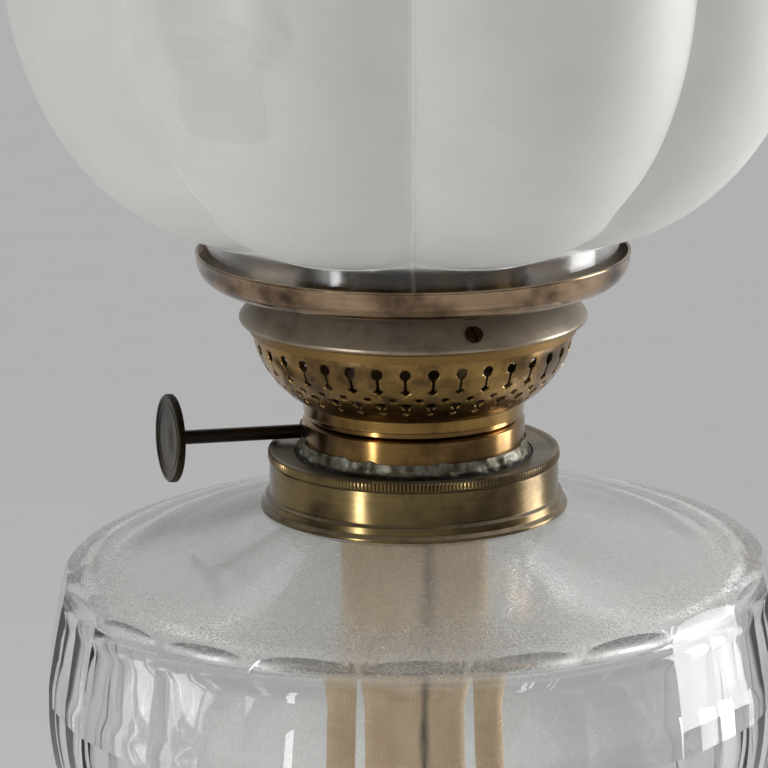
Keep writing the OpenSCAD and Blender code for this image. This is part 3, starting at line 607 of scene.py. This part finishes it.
def stem_pieces():
    bore = 4.3
    r = capital.r + 1
    z0, z1 = base.z0, base.z1
    mid = (z0 + z1) / 2
    outline = (
        [(bore, z0), (r - 1, z0)] + arc(r - 3, z0 + 3, 3, -45, 60, 8)
        + curve((r - 4, z0 + 6.5), (r - 8, mid - 2), (r - 8, mid + 2), (r - 6, z1 - 5), 10)
        + arc(r - 5.5, z1 - 2.5, 2.2, -60, 80, 8) + [(r - 6, z1), (bore, z1)]
    )
    add_piece("stem_foot_turning", lathe(eased(outline, 0.4), 96), "root", foot_metal,
              ["stem_base"])
    z0, z1, h = baluster.z0, baluster.z1, baluster.h
    outline = (
        [(bore, z0)]
        + curve((r - 7, z0), (r + 5, z0 + h * 0.25), (r + 1, z0 + h * 0.55), (r * 0.5, z1 - 8), 24)
        + arc(r * 0.5 + 0.5, z1 - 5, 2.4, -60, 60, 8)
        + [(r * 0.5, z1 - 2), (r * 0.5, z1), (bore, z1)]
    )
    add_piece("stem_bulb_turning", lathe(eased(outline, 0.4), 96), "root", foot_metal,
              ["stem_baluster"])
    z0, z1, h = capital.z0, capital.z1, capital.h
    outline = (
        [(bore, z0), (r * 0.5 + 1, z0)] + arc(r * 0.5 + 1, z0 + 3, 2.6, -60, 60, 8)
        + curve((r * 0.5 + 0.5, z0 + 6), (r * 0.5 + 1, z0 + h * 0.6), (r - 2, z0 + h * 0.6),
                (r - 1, z1 - 3.5), 14)
        + arc(r - 2, z1 - 1.9, 1.9, -50, 90, 8) + [(bore, z1)]
    )
    add_piece("stem_top_turning", lathe(eased(outline, 0.4), 96), "root", foot_metal,
              ["stem_capital"])


seat_r = cup.r - 9


def cup_piece():
    r, z = capital.r + 1, cup.z0
    outline = (
        [(5, z)] + curve((r + 4, z + 1), (r + 12, z + 2), (seat_r - 6, z + 6), (seat_r + 1, z + 15), 14)
        + curve((seat_r + 2.5, z + 16.5), (seat_r + 5, z + 19), (cup.r, z + 22), (cup.r, cup.z1), 12)
    )
    bowl = lathe(eased(wall(outline, -SPUN_SHEET), 0.4), 144)
    add_piece("font_cup_bowl", bowl, "root", foot_metal, ["font_cup"])


foot_pieces()
stem_pieces()
cup_piece()


# ---------------------------------------------------------------- cut glass font

FLATS = 21
FONT_STEPS = FLATS * 12
glass_neck_h = 5.0
shoulder_z = font.z1 - glass_neck_h
rim_z = shoulder_z - 11.5
mouth_r = milled.r - 34.9 + 27.5
edge_r = font.r - 8.4
waist_z = font.z0 + (rim_z - font.z0) * 0.62
EDGE_CURVE = 4.9
ARCH_LOW, ARCH_HIGH = 12.0, 76.0


def ridge_radius():
    """Radius of the ridges between the flats, over heights above the waist."""
    r, z = font.r, waist_z
    path = [(r, z)] + curve((r - 0.15, z + 8), (r - 1.2, z + 14), (r - 3, rim_z - 9), (r - 5.5, rim_z), 24)

    def at(height):
        for (r0, z0), (r1, z1) in zip(path, path[1:]):
            if height <= z1:
                return r0 + (r1 - r0) * (height - z0) / (z1 - z0)
        return path[-1][0]

    return at


def font_piece():
    """A heavy blown body, cut with flat flutes that end in arches under the rounded shoulder."""
    low_r = seat_r + 5
    half = math.pi / FLATS
    inner_r = font.r * math.cos(half) - 7
    inner_z = font.z0 + 9
    flange_r = collar.r
    turn_r, turn_z = edge_r - 0.9, rim_z - 5.3
    start_z = turn_z + EDGE_CURVE * math.sin(math.radians(ARCH_LOW))
    slope = (shoulder_z - rim_z) / (edge_r - flange_r)
    side_rows, arch_rows = 16, 14
    blank = (
        [(0, font.z0), (seat_r, font.z0), (low_r, font.z0 + 1.5)]
        + curve((low_r + 1.5, font.z0 + 5.2), (font.r - 14, font.z0 + 12), (font.r - 1, font.z0 + 26),
                (font.r, waist_z), 26)
        + [(font.r - 0.02 * i, waist_z + (start_z - waist_z) * i / side_rows) for i in range(1, side_rows)]
        + arc(turn_r, turn_z, EDGE_CURVE, ARCH_LOW, ARCH_HIGH, arch_rows)
        + [(edge_r - (edge_r - flange_r) * t, rim_z + slope * (edge_r - flange_r) * t)
           for t in (0.06, 0.2, 0.5, 1.0)]
        + [(mouth_r + 3.5, shoulder_z), (mouth_r + 3.5, font.z1), (mouth_r, font.z1),
           (mouth_r, shoulder_z - 3), (mouth_r + 6, shoulder_z - 4)]
        + arc(inner_r - 10.5, rim_z - 14, 8, 76, 0, 10)
        + curve((inner_r, waist_z), (inner_r - 2, inner_z + 18), (inner_r - 18, inner_z + 2),
                (seat_r - 8, inner_z), 20)
        + [(0, inner_z)]
    )
    bm = lathe(blank, FONT_STEPS, closed=False)
    ridge = ridge_radius()
    meets = {}

    def arch_start(off):
        """Angle on the rounded edge at which it meets the flat, this far round from the flat's middle."""
        key = round(off, 4)
        if key not in meets:
            angle = math.radians(30)
            for _ in range(30):
                flat = ridge(turn_z + EDGE_CURVE * math.sin(angle)) * math.cos(half) / math.cos(off)
                angle = math.acos(min(1.0, max(-1.0, (flat - turn_r) / EDGE_CURVE)))
            meets[key] = max(math.degrees(angle), ARCH_LOW)
        return meets[key]

    for v in bm.verts:
        r, azimuth = polar(v.co)
        z = v.co.z
        if r > inner_r + 1.5 and font.z0 + 1 < z < rim_z + 0.01 or z > waist_z and r > turn_r and z < rim_z:
            off = abs((azimuth + half) % (2 * half) - half)
            meet = arch_start(off)
            top = turn_z + EDGE_CURVE * math.sin(math.radians(meet))
            if z <= waist_z + 0.01:
                set_polar(v.co, r * math.cos(half) / math.cos(off), azimuth)
            elif z < start_z - 0.01:
                v.co.z = waist_z + (top - waist_z) * (z - waist_z) / (start_z - waist_z)
                set_polar(v.co, ridge(v.co.z) * math.cos(half) / math.cos(off), azimuth)
            else:
                blank_angle = math.degrees(math.asin(min(1.0, (z - turn_z) / EDGE_CURVE)))
                t = (blank_angle - ARCH_LOW) / (ARCH_HIGH - ARCH_LOW)
                angle = math.radians(meet + (ARCH_HIGH - meet) * min(1.0, t))
                v.co.z = turn_z + EDGE_CURVE * math.sin(angle)
                set_polar(v.co, turn_r + EDGE_CURVE * math.cos(angle), azimuth)
        r, azimuth = polar(v.co)
        reach = min(1.0, max(0.0, (r - 45) / 40)) * min(1.0, max(0.0, (v.co.z - font.z0) / 60))
        v.co.z += 0.018 * v.co.x * reach
    bmesh.ops.recalc_face_normals(bm, faces=bm.faces)
    add_piece("font_body", bm, "root", font_glass, ["font"], sharp=9)


font_piece()


# ---------------------------------------------------------------- collar and burner

def collar_piece():
    z, r = collar.z0, collar.r - 2.2
    outline = [
        (r - 1, z), (r + 2.2, z), (r + 2.2, z + 0.75), (r + 1.3, z + 1.6), (r + 1.1, z + 2.4),
        (r + 1.0, z + 3.2), (r + 0.2, z + 3.6), (r, z + 4.2), (r, collar.z1), (r - 1.4, collar.z1),
        (r - 1.4, collar.z1 - 1), (30, collar.z1 - 1), (30, z + 5.1), (r - 1, z + 5.1)
    ]
    add_piece("threaded_collar", lathe(eased(outline, 0.45, 4), 160), "root", olive, ["collar"])


def milled_ring_piece():
    """The burner's screw ring, with a fine milled edge and a dished top."""
    teeth = 240
    r, z1 = milled.r, milled.z1
    z = z1 - 2.15
    trench = z + 0.7
    outline = eased([
        (drum.r + 0.05, trench - 0.8), (28.75, trench - 0.8), (28.75, milled.z0), (29.95, milled.z0),
        (29.95, z),
        (r - 0.25, z), (r - 0.05, z + 0.25), (r - 0.05, z1 - 0.4), (r - 0.35, z1 - 0.02), (r - 1.3, z1),
        (r - 2.2, z1 - 0.5), (drum.r + 2, trench + 0.5), (drum.r + 2, trench), (drum.r + 0.05, trench)
    ], 0.12, 2)
    bm = lathe(outline, teeth * 3)
    for v in bm.verts:
        r_now, azimuth = polar(v.co)
        if r_now > r - 0.4 and z + 0.1 < v.co.z < z1 - 0.02:
            column = round((azimuth % TAU) / TAU * teeth * 3) % 3
            if column == 0:
                set_polar(v.co, r_now - 0.28, azimuth)
    add_piece("milled_screw_ring", bm, "burner", olive, ["burner_ring"], sharp=30)


def drum_piece():
    z_top = drum.z1 - 5.2
    spigot = neck.r - 1.1
    outline = [
        (drum.r - 0.8, drum.z0), (drum.r, drum.z0), (drum.r, z_top - 0.5), (drum.r - 0.5, z_top),
        (spigot, z_top + 0.4), (spigot, drum.z1), (spigot - 0.8, drum.z1), (spigot - 0.8, z_top - 0.6),
        (drum.r - 0.8, z_top - 1)
    ]
    add_piece("burner_drum_shell", lathe(eased(outline, 0.3), 144), "burner", drum_metal,
              ["burner_drum"])


def solder_piece():
    seam = Span("solder_seam")
    outline = (
        [(drum.r + 0.05, seam.z0)] + curve((drum.r + 1.9, seam.z0), (drum.r + 1.6, seam.z0 + 0.9),
                                           (drum.r + 0.5, seam.z0 + 0.9), (drum.r + 0.3, seam.z1 + 1.2), 10)
        + [(drum.r + 0.2, seam.z1 + 1.8), (drum.r + 0.05, seam.z1 + 2.0)]
    )
    bm = lathe(outline, 240)
    for v in bm.verts:
        r, azimuth = polar(v.co)
        if r > drum.r + 0.1:
            lump = noise.noise(v.co * 0.45) + 0.5 * noise.noise(v.co * 1.3)
            set_polar(v.co, r + 0.35 * lump, azimuth)
            v.co.z += 1.6 * noise.noise(v.co * 0.22 + Vector((7, 3, 1))) if v.co.z > seam.z0 + 0.8 else 0
    add_piece("solder_fillet", bm, "burner", tin_solder, ["solder_seam"], sharp=60)


collar_piece()
milled_ring_piece()
drum_piece()
solder_piece()


# ---------------------------------------------------------------- winder

turn_joint = next(j for j in frame["joints"] if j["name"] == "winder_turn")
spindle_axis = Vector(turn_joint["axis"]).normalized()
spindle_point = Vector(turn_joint["pos_m"]) / MM


def on_spindle(bm, along):
    """Lays a bmesh turned about Z along the spindle, with its Z towards the knob."""
    spin = Vector((0, 0, 1)).rotation_difference(spindle_axis).to_matrix()
    bmesh.ops.rotate(bm, verts=bm.verts, cent=(0, 0, 0), matrix=spin)
    bmesh.ops.translate(bm, verts=bm.verts, vec=spindle_point + spindle_axis * along)
    return bm


def knob_piece():
    """A stamped disc with a milled edge, a raised rim and a plain dished face."""
    teeth, reach, r, t = 120, 56.5, 10.6, 2.0
    outline = eased([
        (0, 0), (r - 1.6, 0), (r - 1.5, 0.15), (r - 0.35, 0.15), (r - 0.05, 0.4), (r - 0.05, t - 0.4),
        (r - 0.4, t), (r - 1.0, t), (r - 1.3, t - 0.35), (r - 2.4, t - 0.4), (r - 2.7, t - 0.2),
        (r - 3.0, t - 0.4), (r * 0.3, t - 0.5), (r * 0.24, t - 0.3), (0, t - 0.25)
    ], 0.12, 2)
    bm = lathe(outline, teeth * 3, closed=False)
    for v in bm.verts:
        r_now, azimuth = polar(v.co)
        if r_now > r - 0.45 and 0.2 < v.co.z < t - 0.15:
            if round((azimuth % TAU) / TAU * teeth * 3) % 3 == 0:
                set_polar(v.co, r_now - 0.22, azimuth)
    add_piece("milled_knob", on_spindle(bm, reach - t), "winder", knob_metal,
              ["winder_knob"], sharp=30)


knob_piece()


# ---------------------------------------------------------------- gallery

SLOTS = 36
FIRST_SLOT = math.radians(-2.9)


def bowl_path(steps):
    z = basket.z0
    h = deck.z0 - 0.4 - z
    path = curve((neck.r, z), (neck.r + 4.3, z + 1.55), (basket.r, z + h * 0.57), (basket.r, z + h), steps)
    return path + [(basket.r, basket.z1)]


def basket_piece():
    """Sheet brass punched flat, one slot group at a time, then bent to the bowl's outline."""
    path = bowl_path(24)
    lengths = [0.0]
    for a, b in zip(path, path[1:]):
        lengths.append(lengths[-1] + math.dist(a, b))
    total = lengths[-1]
    bowl_end = lengths[-2]

    def at(v):
        v = min(max(v, 0.0), total)
        i = max(k for k, s in enumerate(lengths[:-1]) if s <= v)
        t = (v - lengths[i]) / (lengths[i + 1] - lengths[i])
        return tuple(path[i][k] * (1 - t) + path[i + 1][k] * t for k in (0, 1))

    def hole(points, u0, v0):
        return [(u0 + x / at(v0 + y)[0], v0 + y) for x, y in points]

    def circle(radius, count):
        turns = [TAU * i / count for i in range(count)]
        return [(radius * math.cos(a), radius * math.sin(a)) for a in turns]

    def keyhole(radius, slot, drop, foot_w, foot_h, tip):
        """A round eye that flares into a narrow slot, over a foot with four hollow sides."""
        eye = [(radius * math.cos(a), radius * math.sin(a))
               for a in (math.radians(-64 + 308 * i / 18) for i in range(19))]
        right = [
            (slot * 1.15, -radius - 0.2), (slot, -radius - 0.6), (slot, -drop + foot_h),
            (slot * 1.5, -drop + foot_h * 0.5),
            (foot_w, -drop), (foot_w * 0.42, -drop - tip * 0.42), (0, -drop - tip)
        ]
        return eye + [(-x, y) for x, y in right] + right[-2::-1]

    pitch = TAU / SLOTS
    half = pitch / 2
    bm = bmesh.new()
    edges = []

    def loop(points):
        verts = [bm.verts.new((u * 1000, v * 10, 0)) for u, v in points]
        edges.extend(bm.edges.new((verts[i], verts[(i + 1) % len(verts)])) for i in range(len(verts)))

    eye_v = bowl_end - 2.4
    side = [total * i / 40 for i in range(41)]
    left = -half * 0.55
    loop([(left, v) for v in side] + [(left + pitch, v) for v in side[::-1]])
    loop(hole(keyhole(1.35, 0.36, 4.8, 1.4, 0.9, 1.25), 0, eye_v))
    loop(hole(circle(0.85, 12), half, eye_v - 7.6))
    loop(hole(keyhole(1.1, 0.3, 3.0, 1.0, 0.6, 0.8), 0, eye_v - 9.6))
    bmesh.ops.triangle_fill(bm, use_beauty=True, edges=edges)
    for k in range(1, 26):
        geom = list(bm.verts) + list(bm.edges) + list(bm.faces)
        bmesh.ops.bisect_plane(bm, geom=geom, plane_co=(0, total * 10 * k / 26, 0), plane_no=(0, 1, 0))
    for k in range(1, 6):
        geom = list(bm.verts) + list(bm.edges) + list(bm.faces)
        cut = ((left + pitch * k / 6) * 1000, 0, 0)
        bmesh.ops.bisect_plane(bm, geom=geom, plane_co=cut, plane_no=(1, 0, 0))
    bmesh.ops.triangulate(bm, faces=bm.faces)
    for v in bm.verts:
        u, along = v.co.x / 1000, v.co.y / 10
        r, z = at(along)
        v.co.z = z
        set_polar(v.co, r, u + FIRST_SLOT)
    bmesh.ops.spin(bm, geom=list(bm.verts) + list(bm.edges) + list(bm.faces), axis=(0, 0, 1), cent=(0, 0, 0),
                   angle=TAU * (SLOTS - 1) / SLOTS, steps=SLOTS - 1, use_duplicate=True, use_merge=False)
    bmesh.ops.remove_doubles(bm, verts=bm.verts, dist=0.002)
    bmesh.ops.recalc_face_normals(bm, faces=bm.faces)
    obj = add_piece("punched_basket", bm, "gallery", bowl_metal, ["basket"], sharp=70)
    thick = obj.modifiers.new("sheet", "SOLIDIFY")
    thick.thickness = 0.6 * MM
    thick.offset = -1
    return obj


def gallery_neck_piece():
    r, z0, z1 = neck.r, neck.z0, neck.z1
    outline = [(r - 0.8, z0), (r, z0), (r + 0.05, z0 + 0.4), (r, z1 - 0.3), (r + 0.1, z1), (r - 0.8, z1)]
    add_piece("golden_neck_band", lathe(eased(outline, 0.2), 144), "gallery", gold,
              ["gallery_neck"])


def deck_piece():
    """A spun cover, with its slope convex down to a thin edge, over a skirt that clips on the basket."""
    edge_z = deck.z0 - 0.1 + 3.5
    edge_r = deck.r - SHEET
    flat_z = deck.z1 - SHEET
    inner = holder.r - SHEET + 4
    run, drop = edge_r - 0.1 - inner, flat_z - edge_z - 0.2
    outline = (
        [(holder.r - 0.7, flat_z)]
        + curve((inner, flat_z), (inner + run * 0.28, flat_z - drop * 0.12),
                (inner + run * 0.8, flat_z - drop * 0.58), (edge_r - 0.1, edge_z + 0.2), 16)
        + arc(edge_r - 0.2, edge_z, 0.2, 20, -80, 4)
        + [(basket.r + 0.1, edge_z - 0.25), (basket.r + 0.1, deck.z0)]
    )
    add_piece("dusty_deck", lathe(eased(wall(outline, -SHEET), 0.15, 2), 160), "gallery",
              dusty, ["deck"])


def shade_ring_piece():
    r, z = shade_ring.r, shade_ring.z0
    web_in = holder.r + 0.2
    path = (
        [(web_in, z + 0.02)] + [(r - 9, z + 0.1)]
        + curve((r - 6, z + 0.35), (r - 2.2, z + 1.1), (r - 0.9, z + 3.0), (r - 0.35, z + 5.4), 12)
        + [(r - 0.1, shade_ring.z1 - 0.5)]
    )
    section = wall(path, -0.75)
    bead = arc(r - 0.45, shade_ring.z1 - 0.42, 0.42, 0, 180, 6)
    count = len(path)
    section = section[:count] + bead + section[count:]
    add_piece("shade_gallery_ring", lathe(section, 192), "gallery", ring_metal,
              ["shade_ring"], sharp=50)


basket_piece()
gallery_neck_piece()
deck_piece()
shade_ring_piece()


# ---------------------------------------------------------------- wick

def wick_piece():
    """Flat cotton rolled to a tube in the burner, and hanging as a flattened tube in the font."""
    width, length = 76.0, wick.z1 - wick_tail.z0
    across, down = 64, 70
    round_end = wick.z0 - 1
    flat_start = round_end - 9
    bm = bmesh.new()
    bmesh.ops.create_grid(bm, x_segments=across, y_segments=down, size=0.5)
    uv = bm.loops.layers.uv.new("weave")
    for face in bm.faces:
        for loop in face.loops:
            loop[uv].uv = (loop.vert.co.x + 0.5, loop.vert.co.y + 0.5)
    tail_t = 5.2
    straight = (width - math.pi * tail_t) / 2
    for v in bm.verts:
        u, t = v.co.x + 0.5, v.co.y + 0.5
        z = wick_tail.z0 + length * t
        a = TAU * (0.004 + 0.992 * u)
        circle = Vector((12.1 * math.sin(a), -12.1 * math.cos(a)))
        s = (u * width + straight * 0.62) % width
        if s < straight:
            flat = Vector((-straight / 2 + s, -tail_t / 2))
        elif s < straight + math.pi * tail_t / 2:
            b = (s - straight) / (tail_t / 2)
            flat = Vector((straight / 2 + tail_t / 2 * math.sin(b), -tail_t / 2 * math.cos(b)))
        elif s < 2 * straight + math.pi * tail_t / 2:
            flat = Vector((straight / 2 - (s - straight - math.pi * tail_t / 2), tail_t / 2))
        else:
            b = (s - 2 * straight - math.pi * tail_t / 2) / (tail_t / 2)
            flat = Vector((-straight / 2 - tail_t / 2 * math.sin(b), tail_t / 2 * math.cos(b)))
        k = min(1.0, max(0.0, (round_end - z) / (round_end - flat_start)))
        k = k * k * (3 - 2 * k)
        place = circle.lerp(flat, k)
        if k > 0.5:
            gap = 0.5 + 0.5 * noise.noise(Vector((3, 5, z * 0.2)))
            edge = max(0.0, 1 - 12 * min(u, 1 - u))
            place.y += edge * gap * 0.8
            place.x += (0.25 if u > 0.5 else -0.25) * edge * gap
        v.co = Vector((place.x, place.y, z))
    bmesh.ops.recalc_face_normals(bm, faces=bm.faces)
    obj = add_piece("cotton_wick", bm, "wick", cotton_cloth, ["wick", "wick_tail"], sharp=80)
    thick = obj.modifiers.new("cloth", "SOLIDIFY")
    thick.thickness = CLOTH * MM
    thick.offset = 0


wick_piece()


# ---------------------------------------------------------------- chimney and shade

def chimney_piece():
    r, z0, z1 = chimney.r, chimney.z0, chimney.z1
    bulge = z0 + 30
    waist, pipe = 15, 17.5
    path = (
        [(r, z0), (r, bulge)]
        + curve((r, bulge + 4), (r - 1, bulge + 9), (waist + 1, bulge + 9), (waist, bulge + 16), 16)
        + curve((waist + 0.6, bulge + 24), (pipe + 1, bulge + 44), (pipe + 1, bulge + 60), (pipe, z1), 16)
    )
    glass = lathe(eased(wall(path, -CHIMNEY_WALL), 0.6), 96)
    add_piece("blown_chimney", glass, "chimney", chimney_glass, ["chimney"], sharp=60)


LOBES = 8
HALF_LOBE = math.pi / LOBES
PLAN_CENTRE, PLAN_RADIUS = 0.577, 0.454
VALLEY_LIFT = 2.8
LOBE_DEPTH = 0.0984


def plan(a):
    return PLAN_CENTRE * math.cos(a) + math.sqrt(PLAN_RADIUS ** 2 - (PLAN_CENTRE * math.sin(a)) ** 2)


def lowness(azimuth):
    """0 on a lobe's crest and 1 in the valley between two lobes. A valley is at the lamp's front."""
    off = azimuth % (2 * HALF_LOBE) - HALF_LOBE
    return 1 - (plan(off) - plan(HALF_LOBE)) / (plan(0) - plan(HALF_LOBE))


def shade_piece():
    fitter_r = shade_ring.r - 2.6
    top = shade.z1
    neck_top = shade_ring.z1 + 4.4
    tall = top - neck_top
    crest_r = 97.5
    bend, waist = tall * 0.52, tall * 0.87
    path = (
        [(fitter_r, shade.z0), (fitter_r, neck_top - 4), (fitter_r, neck_top - 1)]
        + curve((fitter_r, neck_top), (fitter_r + (crest_r - fitter_r) * 0.6, neck_top + 6.4),
                (crest_r * 1.015, neck_top + bend * 0.46), (crest_r, neck_top + bend), 28)
        + curve((crest_r * 0.998, neck_top + bend * 1.12), (crest_r * 0.97, neck_top + bend * 1.45),
                (crest_r * 0.62, neck_top + waist * 0.92), (crest_r * 0.61, neck_top + waist), 22)
        + curve((crest_r * 0.62, neck_top + waist + 4), (crest_r * 0.66, neck_top + waist + 8),
                (crest_r * 0.7, top - 4), (crest_r * 0.78, top), 8)
    )
    bm = lathe(eased(wall(path, -SHADE_WALL), 0.8), LOBES * 28)
    grown = 14.0
    for v in bm.verts:
        r, azimuth = polar(v.co)
        low = lowness(azimuth)
        above = v.co.z - (neck_top - 1.5)
        if above <= 0:
            continue
        share = min(1.0, above / grown)
        share = share * share * (3 - 2 * share)
        lift = VALLEY_LIFT * min(1.0, above / 2.5) * max(0.0, 1 - above / 60)
        v.co.z += lift * low
        set_polar(v.co, r * (1 - LOBE_DEPTH * share * low), azimuth)
    add_piece("lobed_shade", bm, "shade", shade_glass, ["shade"], sharp=45)


chimney_piece()
shade_piece()
